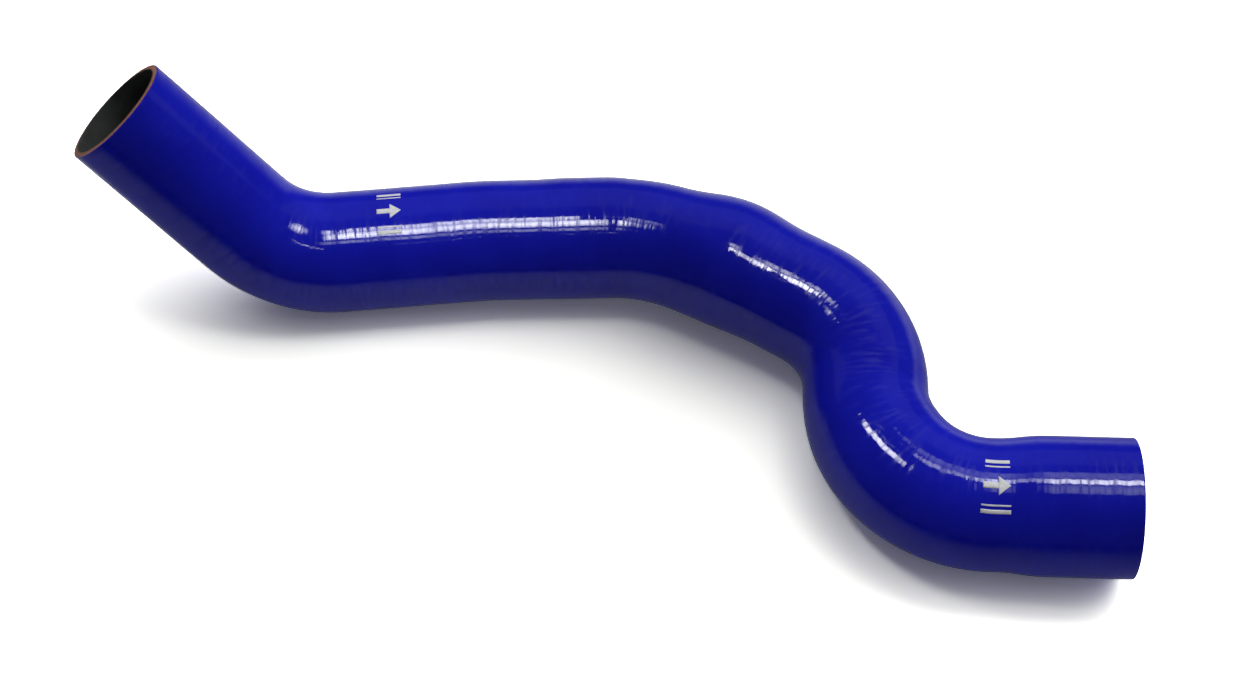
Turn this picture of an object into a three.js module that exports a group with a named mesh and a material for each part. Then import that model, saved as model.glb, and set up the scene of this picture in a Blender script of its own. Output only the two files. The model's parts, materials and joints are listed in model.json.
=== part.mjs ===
// A moulded coolant hose for a car engine: one piece of silicone rubber, laid up over a bent core.
// It has six bends, a raised stub at one end, a swollen sweep in the middle and a wider cuff at the other end.
// It is made as the real one is: a straight hollow blank with its bores, tapers and swells, bent along a path.
// Millimetres and degrees. +Z is up, and +X runs from the raised stub to the cuff.

import * as THREE from 'three';
import { ConvexHull } from 'three/addons/math/ConvexHull.js';
import { mergeVertices } from 'three/addons/utils/BufferGeometryUtils.js';

// Bores, from the raised end to the cuff, and the wall that is laid up over them
const stubBore = 61;
const runBore = 63;
const dropBore = 66;
const cuffBore = 70;
const wall = 4;

// Straight lengths between the bends
const stubStraight = 100;
const runStraight = 76;
const reachStraight = 61;
const sweepStraight = 24;
const slantStraight = 42;
const dropStraight = 5;
const cuffStraight = 78;

// Compass heading of each straight, seen from above, and how steeply the stub comes down
const stubHeading = -24;
const stubFall = 44;
const runHeading = 5;
const reachHeading = 1;
const sweepHeading = -19;
const slantHeading = -32;
const dropHeading = -92;
const cuffHeading = -2;

// Bend radii of the centreline
const stubBend = 68;
const runBend = 280;
const reachBend = 115;
const sweepBend = 95;
const slantBend = 66;
const dropBend = 68;

// Where the bore widens: after the slant bend, and in the flare that leads into the parallel cuff
const dropTaper = 46;
const cuffParallel = 50;
const cuffFlare = 24;

// Where the plies lie thicker over the core: all round the sweep bend and, less, before the slant bend
const sweepSwell = 2.6;
const sweepSwellReach = 36;
const slantSwell = 0.9;
const slantSwellReach = 80;

// A short lap of the top ply, on the far side of the reach, with a firm first edge and a long fade
const lapThickness = 0.8;
const lapSetback = 20;
const lapEdge = 18;
const lapLength = 56;

// Fineness of the facets: flats round the hose, and the distance between rings outside and in the bore
const flats = 40;
const outerRingSpacing = 7.5;
const boreRingSpacing = 15;

// Vertices closer together than this are one
const weldTolerance = 0.001;

// Plain glossy silicone, for a look at the solid alone
const siliconeFinish = { color: '#151ca8', roughness: 0.25, metalness: 0 };

const up = new THREE.Vector3(0, 0, 1);
const down = new THREE.Vector3(0, 0, -1);

function direction(heading, fall = 0) {
  const turn = THREE.MathUtils.degToRad(heading);
  const dip = THREE.MathUtils.degToRad(fall);
  return new THREE.Vector3(Math.cos(dip) * Math.cos(turn), Math.cos(dip) * Math.sin(turn), -Math.sin(dip));
}

// A round bend that leaves start along the direction from, and ends along the direction to
class Bend extends THREE.Curve {
  constructor(start, from, to, radius) {
    super();
    this.axis = new THREE.Vector3().crossVectors(from, to).normalize();
    this.angle = from.angleTo(to);
    this.arm = new THREE.Vector3().crossVectors(from, this.axis).multiplyScalar(radius);
    this.centre = start.clone().sub(this.arm);
  }

  getPoint(t, target = new THREE.Vector3()) {
    return target.copy(this.arm).applyAxisAngle(this.axis, t * this.angle).add(this.centre);
  }
}

// The centreline: straights joined by round bends, from the raised end to the cuff
function layPath(straights) {
  const path = new THREE.CurvePath();
  let corner = new THREE.Vector3();
  straights.forEach((straight, index) => {
    const end = corner.clone().addScaledVector(straight.along, straight.length);
    path.add(new THREE.LineCurve3(corner, end));
    corner = end;
    const next = straights[index + 1];
    if (next) {
      const bend = new Bend(end, straight.along, next.along, straight.bend);
      path.add(bend);
      corner = bend.getPoint(1);
    }
  });
  return path;
}

const path = layPath([
  { length: stubStraight, along: direction(stubHeading, stubFall), bend: stubBend },
  { length: runStraight, along: direction(runHeading), bend: runBend },
  { length: reachStraight, along: direction(reachHeading), bend: reachBend },
  { length: sweepStraight, along: direction(sweepHeading), bend: sweepBend },
  { length: slantStraight, along: direction(slantHeading), bend: slantBend },
  { length: dropStraight, along: direction(dropHeading), bend: dropBend },
  { length: cuffStraight, along: direction(cuffHeading) },
]);

// Stations along the centreline at which each straight ends and each bend ends
const [
  stubEnd, runStart, , reachStart, reachEnd, , sweepEnd, slantStart, slantEnd, dropStart, , , hoseLength,
] = path.getCurveLengths();

function step(station, start, end, rise) {
  return rise * THREE.MathUtils.smoothstep(station, start, end);
}

// A smooth rise and fall, full at its middle and gone at its reach on either side
function swell(station, middle, reach, thickness) {
  const distance = Math.min(Math.abs(station - middle) / reach, 1);
  return (thickness * (1 + Math.cos(Math.PI * distance))) / 2;
}

function boreRadius(station) {
  const flareEnd = hoseLength - cuffParallel;
  const bore = stubBore
    + step(station, stubEnd, runStart, runBore - stubBore)
    + step(station, dropStart, dropStart + dropTaper, dropBore - runBore)
    + step(station, flareEnd - cuffFlare, flareEnd, cuffBore - dropBore);
  return bore / 2;
}

function outerRadius(station) {
  const sweepMiddle = (sweepEnd + slantStart) / 2;
  return boreRadius(station) + wall
    + swell(station, sweepMiddle, sweepSwellReach, sweepSwell)
    + swell(station, slantEnd, slantSwellReach, slantSwell);
}

// How far the lapped ply stands proud; across is 1 on the far side of the hose and -1 on the near side
function lapHeight(station, across) {
  const lapStart = reachStart + lapSetback;
  const lapEnd = lapStart + lapLength;
  const along = step(station, lapStart, lapStart + lapEdge, 1) - step(station, reachEnd, lapEnd, 1);
  return (lapThickness * along * (1 + across)) / 2;
}

function ringStations(spacing) {
  const steps = Math.ceil(hoseLength / spacing);
  return Array.from({ length: steps + 1 }, (_, index) => (index * hoseLength) / steps);
}

// Directions across the hose at each ring of the blank, carried along the path without twisting
function carryFrames(stations) {
  const tangent = path.getTangentAt(0);
  const side = new THREE.Vector3().crossVectors(up, tangent).normalize();
  const turn = new THREE.Quaternion();
  return stations.map((station) => {
    const along = station / hoseLength;
    const nextTangent = path.getTangentAt(along);
    turn.setFromUnitVectors(tangent, nextTangent);
    side.applyQuaternion(turn);
    tangent.copy(nextTangent);
    return {
      point: path.getPointAt(along),
      side: side.clone(),
      lift: new THREE.Vector3().crossVectors(side, nextTangent),
    };
  });
}

// The straight blank, turned round its Y axis, with both cut ends square
function makeBlank(outerStations, boreStations) {
  const outside = outerStations.map((station) => new THREE.Vector2(outerRadius(station), station));
  const inside = boreStations.map((station) => new THREE.Vector2(boreRadius(station), station));
  const profile = [...outside, ...inside.reverse(), outside[0]];
  return new THREE.LatheGeometry(profile, flats);
}

// Each ring of the blank goes to its place on the path, and the rings outside take the lapped ply
function bendBlank(blank, outerStations, boreStations) {
  const outerFrames = carryFrames(outerStations);
  const boreFrames = carryFrames(boreStations).reverse();
  const frames = [...outerFrames, ...boreFrames, outerFrames[0]];
  const position = blank.attributes.position;
  for (let index = 0; index < position.count; index += 1) {
    const ring = index % frames.length;
    const { point, side, lift } = frames[ring];
    const spot = new THREE.Vector3().fromBufferAttribute(position, index);
    const radius = Math.hypot(spot.x, spot.z);
    const lap = ring < outerFrames.length ? lapHeight(spot.y, spot.x / radius) : 0;
    const growth = 1 + lap / radius;
    const bent = point.clone().addScaledVector(side, spot.x * growth).addScaledVector(lift, spot.z * growth);
    position.setXYZ(index, bent.x, bent.y, bent.z);
  }
  return blank;
}

function weld(geometry) {
  geometry.deleteAttribute('normal');
  geometry.deleteAttribute('uv');
  const welded = mergeVertices(geometry, weldTolerance);
  welded.computeVertexNormals();
  return welded;
}

// Centre of mass of the closed solid, from the tetrahedra between its triangles and the origin
function centreOfMass(geometry) {
  const { index, attributes: { position } } = geometry;
  const centre = new THREE.Vector3();
  const corners = [new THREE.Vector3(), new THREE.Vector3(), new THREE.Vector3()];
  let volume = 0;
  for (let first = 0; first < index.count; first += 3) {
    corners.forEach((corner, which) => corner.fromBufferAttribute(position, index.getX(first + which)));
    const [a, b, c] = corners;
    const share = a.dot(new THREE.Vector3().crossVectors(b, c)) / 6;
    centre.addScaledVector(a, share / 4).addScaledVector(b, share / 4).addScaledVector(c, share / 4);
    volume += share;
  }
  return centre.divideScalar(volume);
}

// The hull face that a plumb line from the centre of mass meets, when the hose is held with toGround down
function faceBelow(hull, centre, toGround) {
  let lowest = null;
  let shortest = Infinity;
  hull.faces.forEach((face) => {
    const slope = face.normal.dot(toGround);
    const drop = -face.distanceToPoint(centre) / slope;
    if (slope > 0 && drop < shortest) {
      shortest = drop;
      lowest = face;
    }
  });
  return lowest;
}

// Rolls the hose from face to face of its hull until the face below its centre of mass lies on the ground
function restingTurn(geometry) {
  const { position } = geometry.attributes;
  const points = Array.from({ length: position.count }, (_, index) => (
    new THREE.Vector3().fromBufferAttribute(position, index)
  ));
  const hull = new ConvexHull().setFromPoints(points);
  const centre = centreOfMass(geometry);
  let underside = down;
  let face = faceBelow(hull, centre, underside);
  while (face.normal !== underside) {
    underside = face.normal;
    face = faceBelow(hull, centre, underside);
  }
  return new THREE.Quaternion().setFromUnitVectors(underside, down);
}

function makeHose() {
  const outerStations = ringStations(outerRingSpacing);
  const boreStations = ringStations(boreRingSpacing);
  const blank = makeBlank(outerStations, boreStations);
  const geometry = weld(bendBlank(blank, outerStations, boreStations));
  const hose = new THREE.Mesh(geometry, new THREE.MeshStandardMaterial(siliconeFinish));
  hose.name = 'hose';
  hose.quaternion.copy(restingTurn(geometry));
  return hose;
}

// The origin is on the ground, below the middle of the hose's box
function standOnOrigin(mesh) {
  const box = new THREE.Box3().setFromObject(mesh, true);
  const middle = box.getCenter(new THREE.Vector3());
  mesh.position.set(-middle.x, -middle.y, -box.min.z);
}

const part = new THREE.Group();
const hose = makeHose();
standOnOrigin(hose);
part.add(hose);

export default part;
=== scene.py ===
import json
import math

import bmesh
import bpy
import numpy as np
from mathutils import Matrix, Vector


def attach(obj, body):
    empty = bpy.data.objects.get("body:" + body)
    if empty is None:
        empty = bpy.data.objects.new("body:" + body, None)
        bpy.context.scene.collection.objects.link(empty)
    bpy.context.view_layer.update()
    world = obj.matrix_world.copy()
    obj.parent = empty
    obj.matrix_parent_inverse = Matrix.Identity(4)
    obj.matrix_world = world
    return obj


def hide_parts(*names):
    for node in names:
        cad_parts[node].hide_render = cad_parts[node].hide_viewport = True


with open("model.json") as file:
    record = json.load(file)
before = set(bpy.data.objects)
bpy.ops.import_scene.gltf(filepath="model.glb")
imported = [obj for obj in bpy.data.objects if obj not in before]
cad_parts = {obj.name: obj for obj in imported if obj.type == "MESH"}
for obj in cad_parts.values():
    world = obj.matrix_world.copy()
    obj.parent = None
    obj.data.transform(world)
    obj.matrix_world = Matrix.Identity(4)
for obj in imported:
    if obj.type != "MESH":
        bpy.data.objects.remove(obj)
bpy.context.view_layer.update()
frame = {"nodes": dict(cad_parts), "record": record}

# A moulded coolant hose of blue silicone. It is built as the real one is: a hollow blank, turned
# from its section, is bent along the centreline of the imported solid. Everything is in metres.

# The cut wall: its layers, how far its outer edge is set back by the slanted cut, how round its
# edges are, a quarter round in three corners, and the rings in the ply, as shares of the wall
WALL = 0.004
SKIN = 0.0007
LINER = 0.0007
CUT_SETBACK = 0.0006
EDGE_ROUND = 0.00025
QUARTER_ROUND = ((0.0, 1.0), (0.29, 0.29), (1.0, 0.0))
PLY_RINGS = (0.3, 0.43, 0.56, 0.69)

# Fineness of the blank: flats round it, rings along its outside and its bore, and the steps of
# the smooth centreline from one ring of the solid to the next
FLATS = 126
OUTER_RINGS = 500
BORE_RINGS = 236
ROUTE_STEPS = 16

# Two corners closer than this are one, and a corner this close to a plane lies in it
WELD = 1e-5
IN_PLANE = 1e-4

# Colours, as linear light
BLUE = (0.0065, 0.010, 0.42, 1)
BLUE_DEEP = (0.0055, 0.0075, 0.37, 1)
BLUE_DUSTY = (0.03, 0.035, 0.42, 1)
TERRACOTTA = (0.30, 0.095, 0.055, 1)
TERRACOTTA_PALE = (0.42, 0.19, 0.13, 1)
LINER_BLACK = (0.032, 0.037, 0.034, 1)
LINER_GREY = (0.050, 0.057, 0.053, 1)
PRINT_WHITE = (0.66, 0.67, 0.66, 1)
PRINT_WORN = (0.42, 0.43, 0.52, 1)

# The skin's gloss: its roughness from the smooth rings to the rough ones, which start at a share
# of the mask, how much the tape's rings and the grain stand up, and how far each ring leans round
# the hose and along it
SKIN_IOR = 1.5
GLOSS_ROUGHNESS = (0.05, 0.18)
ROUGH_FROM = 0.4
RING_HEIGHT = 0.000012
GRAIN_HEIGHT = 0.0000012
RING_LEAN = 0.045
RING_PITCH = 0.20

# The clear film over the skin: its share on the smooth rings and on the rough ones, and where it
# thins out as the skin turns away from the eye
FILM = (0.8, 0.0)
FILM_EDGE = (0.2, 0.7)
FILM_ROUGHNESS = 0.04
FILM_IOR = 1.5

# Rub marks from handling: the share of the skin that has them, and how much they show
RUB_SHARE = 0.33
RUB_STRENGTH = 0.12

# The other finishes, and the middle part of a noise, which holds nearly all of it
RUBBER_IOR = 1.41
INK_IOR = 1.5
INK_WEAR = (0.35, 0.65)
NOISE_RANGE = (0.3, 0.7)

# The two printed fitting marks: the station and the angle of each, the radius that they are
# printed at, their size along and round the hose, and how far the ink stands proud
PRINT_PLACES = {"stub_side_mark": (0.1925, 77.0), "cuff_side_mark": (0.6247, 90.0)}
PRINT_RADIUS = 0.0355
PRINT_ALONG = 0.014
PRINT_ROUND = 0.030
PRINT_LIFT = 0.00005

# The arrow in a mark: where its head starts, and half the width of its shaft, head and tip. Each
# index bar is given by its outer edge, as a share of half the mark, and by its width.
ARROW_NECK = 0.0005
ARROW_SHAFT = 0.0017
ARROW_HEAD = 0.0052
ARROW_TIP = 0.0001
INDEX_BARS = ((1.0, 0.0022), (0.74, 0.0009))

# Fineness of a mark: the steps along the shaft and along the head, the steps across each of the
# two, and those along and across a bar
ARROW_STEPS = 10
SHAFT_STEPS = 4
HEAD_STEPS = 12
BAR_STEPS = (14, 3)

# The paper: how much light it throws back, and how large the sheet is
PAPER = 0.9
FLOOR_REACH = 4.0

# The paper for the camera: how fast the lamps' light falls off to the sides and to the back, the
# power that makes up for that, its exposure, the share of blue in that, and a little haze
FALL_RATE = (1.4, 2.0, 0.0)
FALL_POWER = 1.5
EXPOSURE = 2.0
EXPOSURE_BLUE = 0.94
HAZE = 0.07

# The paper in gloss: its brightness around the hose and behind it, where the one turns into the
# other, where it fades out toward the front, and its glow
PAPER_IN_GLOSS = (0.26, 0.9)
GLOSS_BEHIND = (0.05, 0.15)
GLOSS_FADE = (-0.45, -0.075)
GLOW_IN_GLOSS = 0.07

# The room: its dark walls, and the soft light that comes down from behind the table
ROOM_LIGHT = 0.02
SKY_LIGHT = 2.75
SKY_FALL = 4.0
SKY_CENTRE = (0.38, 0.57, 0.729)

# The places on the hose that the lamps are aimed at
RUN_MIDDLE = (-0.11, 0.06, 0.07)
RUN_FAR = (-0.095, 0.06, 0.07)
RUN_NEAR = (-0.085, 0.06, 0.07)
RUN_END = (-0.02, 0.06, 0.07)
SWEEP = (0.11, 0.025, 0.072)
BEND = (0.15, -0.075, 0.072)
BEND_END = (0.162, -0.09, 0.073)
NECK = (0.19, -0.095, 0.075)
CUFF = (0.24, -0.105, 0.077)
ELBOW = (-0.171, 0.063, 0.073)
ELBOW_EDGE = (-0.168, 0.055, 0.072)

# The lamps, all at one height. Each has its centre, its width and depth, its radiance, what it is
# aimed at, half the angle of its beam, and how far its width is turned from X, in degrees.
LAMP_HEIGHT = 0.50
LAMPS = {
    "run_lamp": ((-0.145, 0.0235), (0.10, 0.087), 16, RUN_MIDDLE, 10, 0),
    "run_end_lamp": ((-0.0425, 0.0235), (0.105, 0.087), 15, RUN_END, 9, 0),
    "run_far_reflector": ((-0.1125, 0.0985), (0.165, 0.063), 11, RUN_FAR, 9, 0),
    "run_near_reflector": ((-0.0925, -0.069), (0.205, 0.042), 3, RUN_NEAR, 10, 0),
    "sweep_lamp": ((0.0205, 0.025), (0.056, 0.065), 20, SWEEP, 12, 0),
    "sweep_reflector": ((0.0330, 0.095), (0.064, 0.05), 6, SWEEP, 12, 0),
    "bend_lamp": ((-0.0875, 0.0215), (0.105, 0.07), 15, BEND, 10, -52),
    "bend_end_lamp": ((-0.0225, -0.0615), (0.105, 0.07), 14, BEND_END, 11, -52),
    "cuff_lamp": ((0.325, -0.01), (0.19, 0.06), 11, CUFF, 15, 0),
    "cuff_far_reflector": ((0.30, 0.08), (0.24, 0.09), 1.2, CUFF, 16, 0),
    "cuff_near_reflector": ((0.325, -0.11), (0.19, 0.11), 1.5, CUFF, 15, 0),
    "neck_lamp": ((0.185, 0.01), (0.09, 0.05), 3.5, NECK, 14, 0),
    "elbow_lamp": ((0.06, 0.085), (0.17, 0.17), 13, ELBOW, 10, 0),
    "elbow_edge_lamp": ((-0.035, -0.152), (0.18, 0.010), 8, ELBOW_EDGE, 18, 11),
    "far_panel": ((0.08, 1.0), (1.6, 1.4), 0.07, None, None, 0),
}

# The camera: its height as an angle, what it looks at and from how far, its lens and sensor in
# millimetres, and how far it sees
CAMERA_ELEVATION = 58
CAMERA_AIM = (0.01814, 0.00669, 0.0355)
CAMERA_DISTANCE = 1.369
CAMERA_LENS = 68.2
CAMERA_SENSOR = 36
CAMERA_REACH = 20

UP = (0.0, 0.0, 1.0)


# The workbench: small helpers that add nodes to a tree and join them

def in_use(sockets, name):
    """The socket of that name in use, of the several that a node keeps for kinds of data."""
    return next(socket for socket in sockets if socket.name == name and socket.enabled)


class Bench:
    """Adds nodes to a tree, and feeds each input with a value or with another node's output."""

    def __init__(self, tree):
        self.tree = tree

    def feed(self, socket, value):
        if isinstance(value, bpy.types.Node):
            value = value.outputs[0]
        if isinstance(value, bpy.types.NodeSocket):
            self.tree.links.new(value, socket)
        else:
            socket.default_value = value

    def add(self, kind, inputs=None, **settings):
        node = self.tree.nodes.new(kind)
        for name, value in settings.items():
            setattr(node, name, value)
        for name, value in (inputs or {}).items():
            self.feed(node.inputs[name], value)
        return node

    def math(self, operation, *values):
        return self.add("ShaderNodeMath", dict(enumerate(values)), operation=operation).outputs[0]

    def vector(self, operation, *values):
        node = self.add("ShaderNodeVectorMath", operation=operation)
        sockets = [socket for socket in node.inputs if socket.enabled]
        for socket, value in zip(sockets, values):
            self.feed(socket, value)
        return node.outputs["Value" if operation == "DOT_PRODUCT" else "Vector"]

    def scaled(self, vector, factor):
        inputs = {0: vector, "Scale": factor}
        return self.add("ShaderNodeVectorMath", inputs, operation="SCALE").outputs[0]

    def spread(self, value, low, high, to_low=0.0, to_high=1.0):
        """Value between low and high, smoothly turned into to_low to to_high."""
        ranges = {
            "Value": value, "From Min": low, "From Max": high, "To Min": to_low, "To Max": to_high,
        }
        return self.add("ShaderNodeMapRange", ranges, interpolation_type="SMOOTHSTEP").outputs[0]

    def noise(self, place, scale, detail, roughness=0.5):
        settings = {"Vector": place, "Scale": scale, "Detail": detail, "Roughness": roughness}
        return self.add("ShaderNodeTexNoise", settings, noise_dimensions="3D").outputs[0]

    def blend(self, share, first, second):
        """The first colour, turned into the second by the share."""
        node = self.add("ShaderNodeMix", data_type="RGBA")
        for name, value in (("Factor", share), ("A", first), ("B", second)):
            self.feed(in_use(node.inputs, name), value)
        return in_use(node.outputs, "Result")

    def bump(self, height):
        settings = {"Strength": 1.0, "Distance": 1.0, "Height": height}
        return self.add("ShaderNodeBump", settings).outputs[0]

    def named(self, label, data_type="FLOAT"):
        """The values that the geometry has under that label."""
        node = self.add("GeometryNodeInputNamedAttribute", {"Name": label}, data_type=data_type)
        return in_use(node.outputs, "Attribute")

    def store(self, geometry, label, data_type, value):
        """The geometry with values under that label."""
        inputs = {"Geometry": geometry, "Name": label}
        node = self.add("GeometryNodeStoreNamedAttribute", inputs, data_type=data_type)
        self.feed(in_use(node.inputs, "Value"), value)
        return node.outputs[0]

    def finished(self, geometry, material, selection=True):
        """The geometry with the material on the selected faces."""
        inputs = {"Geometry": geometry, "Selection": selection, "Material": material}
        return self.add("GeometryNodeSetMaterial", inputs).outputs[0]


def new_group(name, kind, inputs, outputs):
    """A node group with named sockets. Inputs are (name, kind of socket, value)."""
    tree = bpy.data.node_groups.new(name, kind)
    for label, socket_kind, value in inputs:
        socket = tree.interface.new_socket(label, in_out="INPUT", socket_type=socket_kind)
        if value is not None:
            socket.default_value = value
    for label, socket_kind in outputs:
        tree.interface.new_socket(label, in_out="OUTPUT", socket_type=socket_kind)
    bench = Bench(tree)
    return bench, bench.add("NodeGroupInput").outputs, bench.add("NodeGroupOutput").inputs


def add_object(name, data):
    made = bpy.data.objects.new(name, data)
    bpy.context.collection.objects.link(made)
    return made


# The centreline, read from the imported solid

def ring_points(corners):
    return np.array(sorted(tuple(corner.co) for corner in corners))


def ring_loops(node):
    """The solid's corners ring by ring: outside from the stub to the cuff, then the bore."""
    solid = bmesh.new()
    solid.from_mesh(node.data)
    bmesh.ops.remove_doubles(solid, verts=solid.verts, dist=WELD)
    mounts = {mount["name"]: mount for mount in frame["record"]["mounts"]}

    def cut_face(name):
        place, axis = Vector(mounts[name]["pos_m"]), Vector(mounts[name]["axis"])
        return {corner for corner in solid.verts if abs((corner.co - place).dot(axis)) < IN_PLANE}

    stub_face, cuff_face = cut_face("stub_end"), cut_face("cuff_end")
    middle = sum((corner.co for corner in stub_face), Vector()) / len(stub_face)
    by_distance = sorted(stub_face, key=lambda corner: (corner.co - middle).length)
    flats = len(by_distance) // 2
    ring, seen = set(by_distance[flats:]), set(by_distance[:flats])
    loops, outer_count = [], 0
    while ring:
        seen |= ring
        loops.append(ring_points(ring))
        if ring <= cuff_face and not outer_count:
            outer_count = len(loops)
        ring = {edge.other_vert(corner) for corner in ring for edge in corner.link_edges} - seen
    loops.append(ring_points(by_distance[:flats]))
    solid.free()
    return loops[:outer_count], loops[:outer_count - 1:-1]


def along_line(points):
    """How far along the line each of its points lies."""
    steps = np.linalg.norm(np.diff(points, axis=0), axis=1)
    return np.concatenate(([0.0], np.cumsum(steps)))


def unit(vectors):
    return vectors / np.linalg.norm(vectors, axis=-1, keepdims=True)


def carried_sides(centres):
    """A direction across the hose at each ring, level at the stub and carried without a twist."""
    tangents = unit(np.gradient(centres, axis=0))
    sides = [unit(np.cross(UP, tangents[0]))]
    for tangent in tangents[1:]:
        side = sides[-1] - tangent * sides[-1].dot(tangent)
        sides.append(unit(side))
    return np.array(sides)


def read_route(node):
    """The centre, side direction, two radii and height of the lap at each outer ring."""
    outer, bore = ring_loops(node)
    centres = np.array([loop.mean(axis=0) for loop in outer])
    sides = carried_sides(centres)
    spokes = [loop - centre for loop, centre in zip(outer, centres)]
    lengths = [np.linalg.norm(spoke, axis=1) for spoke in spokes]
    # The lap lies on one side, so it pulls a ring's centre to that side by a quarter of its height
    pulls = [
        2 * np.mean(length * (unit(spoke) @ side))
        for length, spoke, side in zip(lengths, spokes, sides)
    ]
    laps = np.clip(4 * np.array(pulls), 0, None)
    centres = centres - sides * laps[:, None] / 4
    outer_radii = np.array([length.mean() for length in lengths]) - laps / 2
    bore_centres = np.array([loop.mean(axis=0) for loop in bore])
    bore_radii = [
        np.linalg.norm(loop - centre, axis=1).mean() for loop, centre in zip(bore, bore_centres)
    ]
    bore_reach = along_line(bore_centres)
    reach = along_line(centres)
    share = reach / reach[-1] * bore_reach[-1]
    return centres, sides, outer_radii, np.interp(share, bore_reach, bore_radii), laps


def line_mesh(name, points, closed, **values):
    """A line of edges through the points, with one named value or vector for each point."""
    count = len(points)
    edges = [(index, (index + 1) % count) for index in range(count if closed else count - 1)]
    mesh = bpy.data.meshes.new(name)
    mesh.from_pydata([tuple(point) for point in points], edges, [])
    for label, numbers in values.items():
        numbers = np.asarray(numbers, dtype=float)
        kind, key = ("FLOAT_VECTOR", "vector") if numbers.ndim == 2 else ("FLOAT", "value")
        mesh.attributes.new(label, kind, "POINT").data.foreach_set(key, numbers.ravel())
    return add_object(name, mesh)


def lay_route():
    centres, sides, outer_radii, bore_radii, laps = read_route(frame["nodes"]["hose"])
    return line_mesh(
        "hose_route", centres, False,
        side=sides, outer_radius=outer_radii, bore_radius=bore_radii, lap=laps,
    )


# The blank's section: a closed line along the outside, across the cut, and back in the bore

def wall_cut():
    """The cut face from skin to liner: each point's share of the wall, and how far it is in."""
    edge = EDGE_ROUND / WALL
    outer_edge = [(edge * inward, shift) for inward, shift in QUARTER_ROUND]
    plies = [(depth, 0.0) for depth in (SKIN / WALL, *PLY_RINGS, 1 - LINER / WALL)]
    inner_edge = [(1 - edge * inward, shift) for shift, inward in QUARTER_ROUND]
    return [
        (depth, CUT_SETBACK * (1 - depth) + EDGE_ROUND * shift)
        for depth, shift in outer_edge + plies + inner_edge
    ]


def blank_section():
    """Each point: how far along the hose as a share, a shift from there, and its depth. The long
    walls start and end clear of the rounded edges."""
    start = CUT_SETBACK + 3 * EDGE_ROUND
    outside = [(share, start * (1 - 2 * share), 0.0) for share in np.linspace(0, 1, OUTER_RINGS)]
    bore = [(share, start * (1 - 2 * share), 1.0) for share in np.linspace(1, 0, BORE_RINGS)]
    cut = wall_cut()
    cuff_cut = [(1.0, -shift, depth) for depth, shift in cut]
    stub_cut = [(0.0, shift, depth) for depth, shift in reversed(cut)]
    return np.array(outside + cuff_cut + bore + stub_cut)


def bend_group():
    """Puts a point of the straight blank, given by its station, its angle and its depth in the
    wall, on the bent hose. Blank is where it was, and Round points round the hose there."""
    bench, given, made = new_group(
        "bend_along_route", "GeometryNodeTree",
        [
            ("Route", "NodeSocketGeometry", None),
            ("Station", "NodeSocketFloat", 0.0),
            ("Angle", "NodeSocketFloat", 0.0),
            ("Depth", "NodeSocketFloat", 0.0),
            ("Proud", "NodeSocketFloat", 0.0),
        ],
        [(label, "NodeSocketVector") for label in ("Place", "Blank", "Round")],
    )

    def on_route(label, data_type="FLOAT"):
        sample = bench.add("GeometryNodeSampleCurve", mode="LENGTH", data_type=data_type)
        bench.feed(sample.inputs["Curves"], given["Route"])
        bench.feed(in_use(sample.inputs, "Value"), bench.named(label, data_type))
        bench.feed(sample.inputs["Length"], given["Station"])
        return sample.outputs

    there = on_route("side", "FLOAT_VECTOR")
    tangent = there["Tangent"]
    sideways = bench.vector("CROSS_PRODUCT", tangent, in_use(there, "Value"))
    lift = bench.vector("NORMALIZE", sideways)
    side = bench.vector("CROSS_PRODUCT", lift, tangent)
    outer, bore, lap = (
        in_use(on_route(label), "Value") for label in ("outer_radius", "bore_radius", "lap")
    )
    across, upward = bench.math("COSINE", given["Angle"]), bench.math("SINE", given["Angle"])
    # The lap is full on the far side, where across is 1, and nought on the near side
    lapped = bench.math("MULTIPLY", lap, bench.math("MULTIPLY_ADD", across, 0.5, 0.5))
    outside = bench.math("ADD", bench.math("ADD", outer, lapped), given["Proud"])
    wall = bench.math("SUBTRACT", outside, bore)
    radius = bench.math("SUBTRACT", outside, bench.math("MULTIPLY", wall, given["Depth"]))
    flat_x, flat_y = bench.math("MULTIPLY", radius, across), bench.math("MULTIPLY", radius, upward)
    spoke = bench.vector("ADD", bench.scaled(side, flat_x), bench.scaled(lift, flat_y))
    round_way = bench.vector("SUBTRACT", bench.scaled(lift, across), bench.scaled(side, upward))
    blank = bench.add("ShaderNodeCombineXYZ", {"X": flat_x, "Y": flat_y, "Z": given["Station"]})
    bench.feed(made["Place"], bench.vector("ADD", there["Position"], spoke))
    bench.feed(made["Blank"], blank)
    bench.feed(made["Round"], round_way)
    return bench.tree


def route_curve(bench, route_object):
    """The centreline as a smooth curve through the solid's ring centres."""
    info = bench.add("GeometryNodeObjectInfo", {"Object": route_object})
    line = bench.add("GeometryNodeMeshToCurve", {"Mesh": info.outputs["Geometry"]})
    smooth = bench.add("GeometryNodeCurveSplineType", {"Curve": line}, spline_type="CATMULL_ROM")
    inputs = {"Geometry": smooth, "Resolution": ROUTE_STEPS}
    return bench.add("GeometryNodeSetSplineResolution", inputs).outputs[0]


def ripple(bench, place, size, seed, height):
    """Noise of the given size and height about nought, at a place on the blank."""
    settings = {
        "Vector": place, "W": seed, "Scale": bench.math("DIVIDE", 1.0, size),
        "Detail": 1.0, "Roughness": 0.4,
    }
    noise = bench.add("ShaderNodeTexNoise", settings, noise_dimensions="4D").outputs[0]
    swing = bench.math("MULTIPLY", height, 2.0)
    return bench.math("MULTIPLY", bench.math("SUBTRACT", noise, 0.5), swing)


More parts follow.
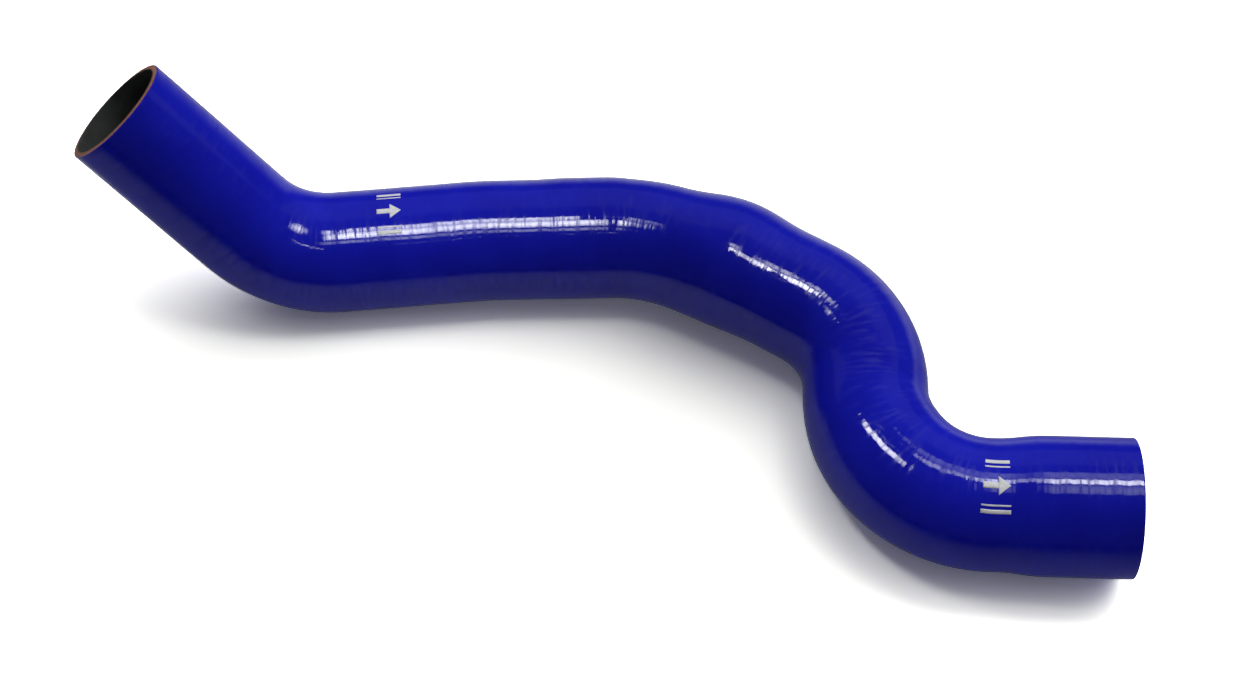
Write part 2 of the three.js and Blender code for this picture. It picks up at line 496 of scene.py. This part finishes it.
def place_on_hose(bench, bend, surface_rise, route, station, angle, depth, lift=0.0):
    """The bend group, used twice: for the place on the plain blank, then with the rise there."""
    def bent(proud):
        group = bench.add("GeometryNodeGroup", node_tree=bend)
        for label, value in (
            ("Route", route), ("Station", station), ("Angle", angle), ("Depth", depth),
            ("Proud", proud),
        ):
            bench.feed(group.inputs[label], value)
        return group

    rise = bench.add("GeometryNodeGroup", node_tree=surface_rise)
    bench.feed(rise.inputs["Blank"], bent(0.0).outputs["Blank"])
    bench.feed(rise.inputs["Station"], station)
    bench.feed(rise.inputs["Angle"], angle)
    return bent(bench.math("ADD", rise.outputs[0], lift)).outputs


def surface_rise_group():
    """How far the skin stands above the plain blank: slow waves, hoops, and the overlapped ply."""
    bench, given, made = new_group(
        "surface_rise", "GeometryNodeTree",
        [
            ("Blank", "NodeSocketVector", None),
            ("Station", "NodeSocketFloat", 0.0),
            ("Angle", "NodeSocketFloat", 0.0),
            ("Wave Height", "NodeSocketFloat", 0.00018),
            ("Wave Length", "NodeSocketFloat", 0.035),
            ("Hoop Height", "NodeSocketFloat", 0.00004),
            ("Hoop Spacing", "NodeSocketFloat", 0.009),
            ("Hoop Stretch", "NodeSocketVector", (0.12, 0.12, 1.0)),
            ("Overlap Height", "NodeSocketFloat", 0.0021),
            ("Overlap Start", "NodeSocketFloat", 0.326),
            ("Overlap Top", "NodeSocketFloat", 0.404),
            ("Overlap End", "NodeSocketFloat", 0.490),
            ("Overlap Angle", "NodeSocketFloat", math.radians(115)),
            ("Overlap Reach", "NodeSocketFloat", math.radians(75)),
            ("Seed", "NodeSocketFloat", 4.0),
        ],
        [("Rise", "NodeSocketFloat")],
    )
    wave = ripple(
        bench, given["Blank"], given["Wave Length"], given["Seed"], given["Wave Height"],
    )
    hooped = bench.vector("MULTIPLY", given["Blank"], given["Hoop Stretch"])
    hoops = ripple(bench, hooped, given["Hoop Spacing"], given["Seed"], given["Hoop Height"])
    climb = bench.add("ShaderNodeMapRange", {
        "Value": given["Station"],
        "From Min": given["Overlap Start"], "From Max": given["Overlap Top"],
    }).outputs[0]
    fade = bench.spread(given["Station"], given["Overlap Top"], given["Overlap End"], 1.0, 0.0)
    turn = bench.math("ABSOLUTE", bench.math("SUBTRACT", given["Angle"], given["Overlap Angle"]))
    side = bench.spread(turn, 0.0, given["Overlap Reach"], 1.0, 0.0)
    along = bench.math("MULTIPLY", climb, fade)
    height = bench.math("MULTIPLY", side, given["Overlap Height"])
    overlap = bench.math("MULTIPLY", along, height)
    bench.feed(made["Rise"], bench.math("ADD", bench.math("ADD", wave, hoops), overlap))
    return bench.tree


def hose_tree(bend, surface_rise):
    """Turns the section into the hollow blank, bends it, and finishes the skin, ply and liner."""
    bench, given, made = new_group(
        "hose_wall", "GeometryNodeTree",
        [
            ("Section", "NodeSocketGeometry", None),
            ("Route", "NodeSocketObject", None),
            ("Flats Round", "NodeSocketInt", 96),
            ("Skin Share", "NodeSocketFloat", 0.2),
            ("Liner Share", "NodeSocketFloat", 0.2),
            ("Skin Finish", "NodeSocketMaterial", None),
            ("Ply Finish", "NodeSocketMaterial", None),
            ("Liner Finish", "NodeSocketMaterial", None),
        ],
        [("Hose", "NodeSocketGeometry")],
    )
    section = bench.add("GeometryNodeMeshToCurve", {"Mesh": given["Section"]})
    circle = bench.add("GeometryNodeCurvePrimitiveCircle", {"Resolution": given["Flats Round"]})
    turn = bench.math("DIVIDE", bench.add("GeometryNodeInputIndex"), given["Flats Round"])
    angle = bench.math("MULTIPLY", turn, 2 * math.pi)
    circle = bench.store(circle.outputs["Curve"], "angle", "FLOAT", angle)
    blank = bench.add("GeometryNodeCurveToMesh", {"Curve": circle, "Profile Curve": section})

    route = route_curve(bench, given["Route"])
    length = bench.add("GeometryNodeCurveLength", {"Curve": route})
    station = bench.math("MULTIPLY_ADD", bench.named("along"), length, bench.named("shift"))
    depth = bench.named("depth")
    final = place_on_hose(bench, bend, surface_rise, route, station, bench.named("angle"), depth)
    shaped = bench.add("GeometryNodeSetPosition", {"Geometry": blank, "Position": final["Place"]})
    marked = bench.store(shaped, "blank", "FLOAT_VECTOR", final["Blank"])
    marked = bench.store(marked, "round", "FLOAT_VECTOR", final["Round"])
    smooth = bench.add("GeometryNodeSetShadeSmooth", {"Geometry": marked})

    in_ply = bench.math("GREATER_THAN", depth, given["Skin Share"])
    in_liner = bench.math("GREATER_THAN", depth, bench.math("SUBTRACT", 1.0, given["Liner Share"]))
    skinned = bench.finished(smooth, given["Skin Finish"])
    plied = bench.finished(skinned, given["Ply Finish"], in_ply)
    whole = bench.add("GeometryNodeRealizeInstances", {"Geometry": plied})
    bench.feed(made["Hose"], bench.finished(whole, given["Liner Finish"], in_liner))
    return bench.tree


def print_tree(bend, surface_rise):
    """Wraps a flat print round the hose. Its X runs along the hose, its Y round it, and Z out."""
    bench, given, made = new_group(
        "wrapped_print", "GeometryNodeTree",
        [
            ("Print", "NodeSocketGeometry", None),
            ("Route", "NodeSocketObject", None),
            ("Station", "NodeSocketFloat", 0.0),
            ("Angle", "NodeSocketFloat", 0.0),
            ("Radius", "NodeSocketFloat", PRINT_RADIUS),
            ("Ink Finish", "NodeSocketMaterial", None),
        ],
        [("Print", "NodeSocketGeometry")],
    )
    flat = bench.add("ShaderNodeSeparateXYZ", {0: bench.add("GeometryNodeInputPosition")}).outputs
    station = bench.math("ADD", flat["X"], given["Station"])
    angle = bench.math("ADD", bench.math("DIVIDE", flat["Y"], given["Radius"]), given["Angle"])
    route = route_curve(bench, given["Route"])
    final = place_on_hose(bench, bend, surface_rise, route, station, angle, 0.0, flat["Z"])
    inputs = {"Geometry": given["Print"], "Position": final["Place"]}
    wrapped = bench.add("GeometryNodeSetPosition", inputs)
    marked = bench.store(wrapped, "blank", "FLOAT_VECTOR", final["Blank"])
    smooth = bench.add("GeometryNodeSetShadeSmooth", {"Geometry": marked})
    whole = bench.add("GeometryNodeRealizeInstances", {"Geometry": smooth})
    bench.feed(made["Print"], bench.finished(whole, given["Ink Finish"]))
    return bench.tree


def shape_with(piece, tree, **values):
    """Sets the tree on the piece, with its named inputs, and makes the result a plain mesh."""
    modifier = piece.modifiers.new(tree.name, "NODES")
    modifier.node_group = tree
    for socket in tree.interface.items_tree:
        key = socket.name.lower().replace(" ", "_")
        if socket.in_out == "INPUT" and key in values:
            modifier[socket.identifier] = values[key]
    piece.update_tag()
    depsgraph = bpy.context.evaluated_depsgraph_get()
    made = bpy.data.meshes.new_from_object(
        piece.evaluated_get(depsgraph), preserve_all_data_layers=True, depsgraph=depsgraph,
    )
    piece.modifiers.clear()
    piece.data = made
    made.name = piece.name
    return piece


# Finishes

def new_material(name):
    material = bpy.data.materials.new(name)
    material.use_nodes = True
    material.node_tree.nodes.clear()
    bench = Bench(material.node_tree)
    return material, bench, bench.add("ShaderNodeOutputMaterial").inputs["Surface"]


def new_finish(name, ior):
    """A material with one Principled shader, given back with that shader's inputs."""
    material, bench, surface = new_material(name)
    shader = bench.add("ShaderNodeBsdfPrincipled", {"IOR": ior})
    bench.feed(surface, shader)
    return material, bench, shader.inputs


def on_blank(bench):
    """The place on the straight blank, which every pattern on the hose follows."""
    return bench.add("ShaderNodeAttribute", attribute_name="blank").outputs["Vector"]


def wrap_marks():
    """Marks that the wrapping tape leaves on a cured hose: fine uneven rings, short along it and
    long round it. Tilt and Pitch say how far each ring leans round the hose and along it, so that
    a lamp's reflection breaks up into bars. Mask tells smooth rings (0) from rough ones (1)."""
    bench, given, made = new_group(
        "wrap_marks", "ShaderNodeTree",
        [
            ("Place", "NodeSocketVector", None),
            ("Ring Spacing", "NodeSocketFloat", 0.0015),
            ("Ring Length", "NodeSocketFloat", 0.016),
            ("Broad Spacing", "NodeSocketFloat", 0.005),
            ("Broad Length", "NodeSocketFloat", 0.0288),
            ("Step Spacing", "NodeSocketFloat", 0.00165),
            ("Step Shift", "NodeSocketFloat", 7.3),
            ("Fine Share", "NodeSocketFloat", 0.3),
            ("Mask Low", "NodeSocketFloat", -0.22),
            ("Mask High", "NodeSocketFloat", 0.3),
        ],
        [(label, "NodeSocketFloat") for label in ("Height", "Tilt", "Pitch", "Mask")],
    )
    parts = bench.add("ShaderNodeSeparateXYZ", {0: given["Place"]}).outputs

    def rings(spacing, length, detail, shift=0.0):
        place = bench.add("ShaderNodeCombineXYZ", {
            "X": bench.math("MULTIPLY_ADD", parts["X"], bench.math("DIVIDE", 1.0, length), shift),
            "Y": bench.math("DIVIDE", parts["Y"], length),
            "Z": bench.math("DIVIDE", parts["Z"], spacing),
        })
        noise = bench.noise(place, 1.0, detail, roughness=0.55)
        return bench.math("SUBTRACT", noise, 0.5)

    fine = rings(given["Ring Spacing"], given["Ring Length"], detail=2.0)
    broad = rings(given["Broad Spacing"], given["Broad Length"], detail=1.0)
    steps = rings(given["Step Spacing"], given["Ring Length"], 1.0, shift=given["Step Shift"])
    mask = bench.spread(bench.math("ADD", fine, steps), given["Mask Low"], given["Mask High"])
    bench.feed(made["Height"], bench.math("MULTIPLY_ADD", fine, given["Fine Share"], broad))
    bench.feed(made["Tilt"], bench.math("ADD", fine, broad))
    bench.feed(made["Pitch"], steps)
    bench.feed(made["Mask"], mask)
    return bench.tree


def mottle():
    """Slow cloudy variation and fine grain, as silicone shows under its gloss."""
    bench, given, made = new_group(
        "mottle", "ShaderNodeTree",
        [
            ("Place", "NodeSocketVector", None),
            ("Cloud Size", "NodeSocketFloat", 0.03),
            ("Grain Size", "NodeSocketFloat", 0.0006),
        ],
        [("Cloud", "NodeSocketFloat"), ("Grain", "NodeSocketFloat")],
    )
    cloud_scale = bench.math("DIVIDE", 1.0, given["Cloud Size"])
    grain_scale = bench.math("DIVIDE", 1.0, given["Grain Size"])
    cloud = bench.noise(given["Place"], cloud_scale, detail=3.0)
    grain = bench.noise(given["Place"], grain_scale, detail=2.0, roughness=0.6)
    bench.feed(made["Cloud"], bench.spread(cloud, *NOISE_RANGE))
    bench.feed(made["Grain"], grain)
    return bench.tree


def scuffs():
    """Sparse pale rub marks from handling: patches, each full of fine strokes along the hose."""
    bench, given, made = new_group(
        "scuffs", "ShaderNodeTree",
        [
            ("Place", "NodeSocketVector", None),
            ("Patch Size", "NodeSocketFloat", 0.02),
            ("Patch Edge", "NodeSocketFloat", 0.12),
            ("Share", "NodeSocketFloat", 0.3),
            ("Strokes In Patch", "NodeSocketFloat", 12.0),
            ("Stroke Stretch", "NodeSocketVector", (1.0, 1.0, 0.25)),
            ("Stroke Low", "NodeSocketFloat", 0.5),
            ("Stroke High", "NodeSocketFloat", 0.72),
        ],
        [("Mask", "NodeSocketFloat")],
    )
    patch_scale = bench.math("DIVIDE", 1.0, given["Patch Size"])
    stroke_scale = bench.math("DIVIDE", given["Strokes In Patch"], given["Patch Size"])
    stretched = bench.vector("MULTIPLY", given["Place"], given["Stroke Stretch"])
    patch = bench.noise(given["Place"], patch_scale, detail=2.0)
    strokes = bench.noise(stretched, stroke_scale, detail=3.0, roughness=0.7)
    gate_low = bench.math("SUBTRACT", 1.0, given["Share"])
    gate = bench.spread(patch, gate_low, bench.math("ADD", gate_low, given["Patch Edge"]))
    drawn = bench.spread(strokes, given["Stroke Low"], given["Stroke High"])
    bench.feed(made["Mask"], bench.math("MULTIPLY", gate, drawn))
    return bench.tree


WRAP_MARKS, MOTTLE, SCUFFS = wrap_marks(), mottle(), scuffs()


def use_group(bench, tree, **values):
    """The outputs of the group, laid on the straight blank and given its own values."""
    node = bench.add("ShaderNodeGroup", {"Place": on_blank(bench)}, node_tree=tree)
    for label, value in values.items():
        node.inputs[label.replace("_", " ").title()].default_value = value
    return node.outputs


def blue_skin():
    material, bench, skin = new_finish("blue_silicone_skin", SKIN_IOR)
    marks = use_group(bench, WRAP_MARKS)
    clouds = use_group(bench, MOTTLE)
    rubs = use_group(bench, SCUFFS, share=RUB_SHARE)
    body = bench.blend(clouds["Cloud"], BLUE_DEEP, BLUE)
    rubbed = bench.math("MULTIPLY", rubs["Mask"], RUB_STRENGTH)
    bench.feed(skin["Base Color"], bench.blend(rubbed, body, BLUE_DUSTY))
    gloss = bench.spread(marks["Mask"], ROUGH_FROM, 1, *GLOSS_ROUGHNESS)
    bench.feed(skin["Roughness"], bench.math("ADD", gloss, rubbed))

    facing = bench.add("ShaderNodeLayerWeight", {"Blend": 0.5}).outputs["Facing"]
    film = bench.spread(marks["Mask"], 0, 1, *FILM)
    thinned = bench.math("MULTIPLY", film, bench.spread(facing, *FILM_EDGE, 1.0, 0.0))
    bench.feed(skin["Coat Weight"], thinned)
    skin["Coat Roughness"].default_value = FILM_ROUGHNESS
    skin["Coat IOR"].default_value = FILM_IOR

    ring_relief = bench.math("MULTIPLY", marks["Height"], RING_HEIGHT)
    grain_relief = bench.math("MULTIPLY", clouds["Grain"], GRAIN_HEIGHT)
    relief = bench.bump(bench.math("ADD", ring_relief, grain_relief))
    round_way = bench.add("ShaderNodeAttribute", attribute_name="round").outputs["Vector"]
    along_way = bench.vector("CROSS_PRODUCT", round_way, relief)
    tilted = bench.scaled(round_way, bench.math("MULTIPLY", marks["Tilt"], RING_LEAN))
    pitched = bench.scaled(along_way, bench.math("MULTIPLY", marks["Pitch"], RING_PITCH))
    leaned = bench.vector("ADD", bench.vector("ADD", relief, tilted), pitched)
    bench.feed(skin["Normal"], bench.vector("NORMALIZE", leaned))
    return material


def grained_rubber(name, colours, sizes, roughness, grain_height):
    """A matt finish with clouds of two colours, and with grain in its roughness and relief."""
    material, bench, rubber = new_finish(name, RUBBER_IOR)
    marks = use_group(bench, MOTTLE, cloud_size=sizes[0], grain_size=sizes[1])
    bench.feed(rubber["Base Color"], bench.blend(marks["Cloud"], *colours))
    bench.feed(rubber["Roughness"], bench.spread(marks["Grain"], *NOISE_RANGE, *roughness))
    bench.feed(rubber["Normal"], bench.bump(bench.math("MULTIPLY", marks["Grain"], grain_height)))
    return material


def terracotta_ply():
    return grained_rubber(
        "terracotta_ply", (TERRACOTTA, TERRACOTTA_PALE),
        sizes=(0.0015, 0.0003), roughness=(0.6, 0.8), grain_height=0.00012,
    )


def black_liner():
    return grained_rubber(
        "black_liner", (LINER_BLACK, LINER_GREY),
        sizes=(0.012, 0.0008), roughness=(0.42, 0.55), grain_height=0.00004,
    )


def printing_ink():
    material, bench, ink = new_finish("white_print_ink", INK_IOR)
    marks = use_group(bench, MOTTLE, cloud_size=0.004, grain_size=0.0007)
    worn = bench.math("MULTIPLY", marks["Cloud"], bench.spread(marks["Grain"], *INK_WEAR))
    bench.feed(ink["Base Color"], bench.blend(worn, PRINT_WHITE, PRINT_WORN))
    bench.feed(ink["Roughness"], bench.spread(marks["Grain"], *NOISE_RANGE, 0.3, 0.45))
    return material


# The hose

route = lay_route()
section = blank_section()
hose = line_mesh(
    "hose_wall", section, True, along=section[:, 0], shift=section[:, 1], depth=section[:, 2],
)
bend_tree, rise_tree = bend_group(), surface_rise_group()
shape_with(
    hose, hose_tree(bend_tree, rise_tree),
    route=route, flats_round=FLATS, skin_share=SKIN / WALL, liner_share=LINER / WALL,
    skin_finish=blue_skin(), ply_finish=terracotta_ply(), liner_finish=black_liner(),
)


# The fitting marks: a flow arrow between two pairs of index bars, printed on the skin

def add_strip(sheet, first_row, last_row, steps_along, steps_across):
    """Adds a grid of faces between two rows, each given by its X, its lowest Y and its highest."""
    rows = []
    for step in range(steps_along + 1):
        share = step / steps_along
        x, low, high = (a + (b - a) * share for a, b in zip(first_row, last_row))
        rows.append([
            sheet.verts.new((x, low + (high - low) * (across / steps_across), -PRINT_LIFT))
            for across in range(steps_across + 1)
        ])
    for row, after in zip(rows, rows[1:]):
        for across in range(steps_across):
            sheet.faces.new((row[across], after[across], after[across + 1], row[across + 1]))


def flat_mark():
    """The arrow and its bars, as one flat mesh with a little thickness."""
    half_along, half_round = PRINT_ALONG / 2, PRINT_ROUND / 2
    shaft, head, tip = ((-width, width) for width in (ARROW_SHAFT, ARROW_HEAD, ARROW_TIP))
    sheet = bmesh.new()
    add_strip(sheet, (-half_along, *shaft), (ARROW_NECK, *shaft), ARROW_STEPS, SHAFT_STEPS)
    add_strip(sheet, (ARROW_NECK, *head), (half_along, *tip), ARROW_STEPS, HEAD_STEPS)
    for side in (-1, 1):
        for reach, width in INDEX_BARS:
            edges = sorted((side * half_round * reach, side * (half_round * reach - width)))
            add_strip(sheet, (-half_along, *edges), (half_along, *edges), *BAR_STEPS)
    bmesh.ops.remove_doubles(sheet, verts=sheet.verts, dist=WELD)
    grown = bmesh.ops.extrude_face_region(sheet, geom=sheet.faces[:])
    top = [item for item in grown["geom"] if isinstance(item, bmesh.types.BMVert)]
    bmesh.ops.translate(sheet, verts=top, vec=(0, 0, 2 * PRINT_LIFT))
    mesh = bpy.data.meshes.new("fitting_mark")
    sheet.to_mesh(mesh)
    sheet.free()
    return mesh


def turn_outward(piece):
    shell = bmesh.new()
    shell.from_mesh(piece.data)
    bmesh.ops.recalc_face_normals(shell, faces=shell.faces)
    shell.to_mesh(piece.data)
    shell.free()


wrapped_print, ink_finish = print_tree(bend_tree, rise_tree), printing_ink()
prints = []
for name, (station, angle) in PRINT_PLACES.items():
    mark = add_object(name, flat_mark())
    shape_with(
        mark, wrapped_print, route=route, station=station, angle=math.radians(angle),
        radius=PRINT_RADIUS, ink_finish=ink_finish,
    )
    turn_outward(mark)
    prints.append(mark)
bpy.data.objects.remove(route)


# Floor, light and camera

def light_path(bench):
    """Two masks: one for what is seen, straight or through glass, and one for what gloss shows."""
    path = bench.add("ShaderNodeLightPath").outputs
    seen = bench.math("MAXIMUM", path["Is Camera Ray"], path["Is Transmission Ray"])
    return seen, path["Is Glossy Ray"]


def floor_material():
    """White paper. The camera sees it as an even exposure does, though the lamps light its rim
    less than its middle."""
    material, bench, surface = new_material("white_paper")
    seen, in_gloss = light_path(bench)
    place = bench.add("ShaderNodeTexCoord").outputs["Object"]
    distance = bench.vector("MULTIPLY", place, FALL_RATE)
    fall = bench.math("ADD", bench.vector("DOT_PRODUCT", distance, distance), 1.0)
    level = bench.math("MULTIPLY", bench.math("POWER", fall, FALL_POWER), EXPOSURE)
    exposed = bench.add("ShaderNodeCombineColor", {
        "Red": level, "Green": level, "Blue": bench.math("MULTIPLY", level, EXPOSURE_BLUE),
    })

    back = bench.add("ShaderNodeSeparateXYZ", {0: place}).outputs["Y"]
    fade = bench.spread(back, *GLOSS_FADE)
    shown = bench.math("MULTIPLY", fade, bench.spread(back, *GLOSS_BEHIND, *PAPER_IN_GLOSS))
    grey = bench.math("DIVIDE", shown, bench.math("MULTIPLY", fall, fall))
    glossed = bench.add("ShaderNodeCombineColor", {"Red": grey, "Green": grey, "Blue": grey})

    plain = bench.blend(in_gloss, (PAPER, PAPER, PAPER, 1), glossed)
    paper = bench.add("ShaderNodeBsdfDiffuse", {"Color": bench.blend(seen, plain, exposed)})
    glow = bench.math("MULTIPLY", bench.math("MULTIPLY", in_gloss, fade), GLOW_IN_GLOSS)
    strength = bench.math("MULTIPLY_ADD", seen, HAZE, glow)
    haze = bench.add("ShaderNodeEmission", {"Strength": strength})
    bench.feed(surface, bench.add("ShaderNodeAddShader", {0: paper, 1: haze}))
    return material


def lay_floor():
    far = FLOOR_REACH
    mesh = bpy.data.meshes.new("floor")
    corners = [(-far, -far, 0), (far, -far, 0), (far, far, 0), (-far, far, 0)]
    mesh.from_pydata(corners, [], [(0, 1, 2, 3)])
    mesh.materials.append(floor_material())
    add_object("floor", mesh)


def hang_lamp(name, centre, size, radiance, target, half_beam, heading):
    """A flat lamp, aimed at its target behind a grid that keeps its light inside the beam, or
    with neither and faced down. Its radiance is what a mirror in mid beam would show of it."""
    data = bpy.data.lights.new(name, "AREA")
    data.shape = "RECTANGLE"
    data.size, data.size_y = size
    data.energy = radiance * math.pi * size[0] * size[1]
    if half_beam:
        half = math.radians(half_beam)
        data.spread = 2 * half
        data.energy *= 1 - half / math.tan(half)
    place = Vector((*centre, LAMP_HEIGHT))
    back = (place - Vector(target)).normalized() if target else Vector(UP)
    turn = math.radians(heading)
    along = Vector((math.cos(turn), math.sin(turn), 0))
    along = (along - back * along.dot(back)).normalized()
    lamp = add_object(name, data)
    lamp.location = place
    lamp.rotation_euler = Matrix((along, back.cross(along), back)).transposed().to_euler()
    lamp.visible_camera = False


def light_room():
    """Gridded lamps over the table, each aimed at its own stretch, and soft light from behind."""
    for name, settings in LAMPS.items():
        hang_lamp(name, *settings)
    world = bpy.data.worlds.new("studio")
    world.use_nodes = True
    world.node_tree.nodes.clear()
    bench = Bench(world.node_tree)
    seen, in_gloss = light_path(bench)
    way = bench.add("ShaderNodeTexCoord").outputs["Generated"]
    toward = bench.math("MAXIMUM", bench.vector("DOT_PRODUCT", way, SKY_CENTRE), 0.0)
    sky = bench.math("MULTIPLY", bench.math("POWER", toward, SKY_FALL), SKY_LIGHT)
    matt = bench.math("SUBTRACT", 1.0, in_gloss)
    unseen = bench.math("MULTIPLY_ADD", matt, sky, ROOM_LIGHT)
    strength = bench.math("MAXIMUM", seen, unseen)
    background = bench.add("ShaderNodeBackground", {"Color": (1, 1, 1, 1), "Strength": strength})
    bench.add("ShaderNodeOutputWorld", {"Surface": background})
    bpy.context.scene.world = world


def place_camera():
    """The photograph's view: from the front, and well above the table."""
    elevation = math.radians(CAMERA_ELEVATION)
    data = bpy.data.cameras.new("camera")
    data.lens = CAMERA_LENS
    data.sensor_width = CAMERA_SENSOR
    data.clip_end = CAMERA_REACH
    camera = add_object("camera", data)
    outward = Vector((0, -math.cos(elevation), math.sin(elevation)))
    camera.location = Vector(CAMERA_AIM) + outward * CAMERA_DISTANCE
    camera.rotation_euler = (math.pi / 2 - elevation, 0, 0)
    bpy.context.scene.camera = camera


lay_floor()
light_room()
place_camera()
bpy.context.scene.view_settings.view_transform = "Standard"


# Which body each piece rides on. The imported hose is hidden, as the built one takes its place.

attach(hose, "root")
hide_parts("hose")
for mark in prints:
    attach(mark, "root")
